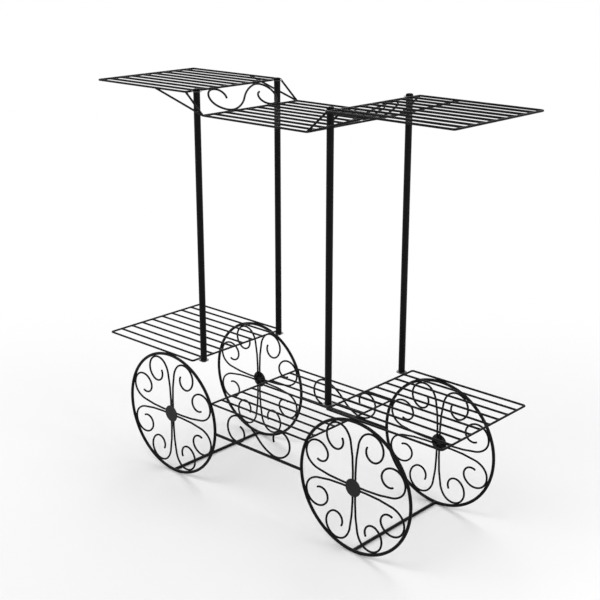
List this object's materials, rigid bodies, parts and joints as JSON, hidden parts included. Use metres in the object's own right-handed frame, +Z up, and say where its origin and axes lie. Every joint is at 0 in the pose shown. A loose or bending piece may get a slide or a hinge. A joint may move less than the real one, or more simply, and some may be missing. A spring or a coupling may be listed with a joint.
{
  "type": "flower cart display stand",
  "caption": "Black wire display stand shaped like a flower cart: scrolled wheels carry slatted shelves, and slender posts carry a second level of shelves above.",
  "frame": {"origin": "middle of the stand's footprint, on the ground", "axes": "+Z up, +X along the stand's length, +Y from the front wheels to the rear wheels"},
  "size_m": [0.8038, 0.2418, 0.7417],
  "materials": {
    "black_paint": "satin black powder coat on steel wire and tube",
    "zinc_washer": "dull zinc",
    "black_screw": "satin black"
  },
  "bodies": {
    "root": {"floor_bar_left": "black_paint", "floor_bar_right": "black_paint", "post_front_left": "black_paint", "post_front_right": "black_paint", "post_rear_left": "black_paint", "post_rear_right": "black_paint", "post_screws_lower": "black_screw", "post_screws_upper": "black_screw", "post_washers_lower": "zinc_washer", "post_washers_upper": "zinc_washer", "s_panel_lower_front": "black_paint", "s_panel_lower_rear": "black_paint", "s_panel_upper_left": "black_paint", "s_panel_upper_right": "black_paint", "shelf_lower_left_frame": "black_paint", "shelf_lower_left_slats": "black_paint", "shelf_lower_middle_frame": "black_paint", "shelf_lower_middle_slats": "black_paint", "shelf_lower_right_frame": "black_paint", "shelf_lower_right_slats": "black_paint", "shelf_upper_left_frame": "black_paint", "shelf_upper_left_slats": "black_paint", "shelf_upper_middle_frame": "black_paint", "shelf_upper_middle_slats": "black_paint", "shelf_upper_right_frame": "black_paint", "shelf_upper_right_slats": "black_paint", "stretcher_front": "black_paint", "stretcher_rear": "black_paint", "strut_long_front_left": "black_paint", "strut_long_front_right": "black_paint", "strut_long_rear_left": "black_paint", "strut_long_rear_right": "black_paint", "strut_short_front_left": "black_paint", "strut_short_front_right": "black_paint", "strut_short_rear_left": "black_paint", "strut_short_rear_right": "black_paint", "wheel_front_left_hub": "black_paint", "wheel_front_left_rim": "black_paint", "wheel_front_left_scrolls": "black_paint", "wheel_front_right_hub": "black_paint", "wheel_front_right_rim": "black_paint", "wheel_front_right_scrolls": "black_paint", "wheel_rear_left_hub": "black_paint", "wheel_rear_left_rim": "black_paint", "wheel_rear_left_scrolls": "black_paint", "wheel_rear_right_hub": "black_paint", "wheel_rear_right_rim": "black_paint", "wheel_rear_right_scrolls": "black_paint"}
  },
  "joints": []
}
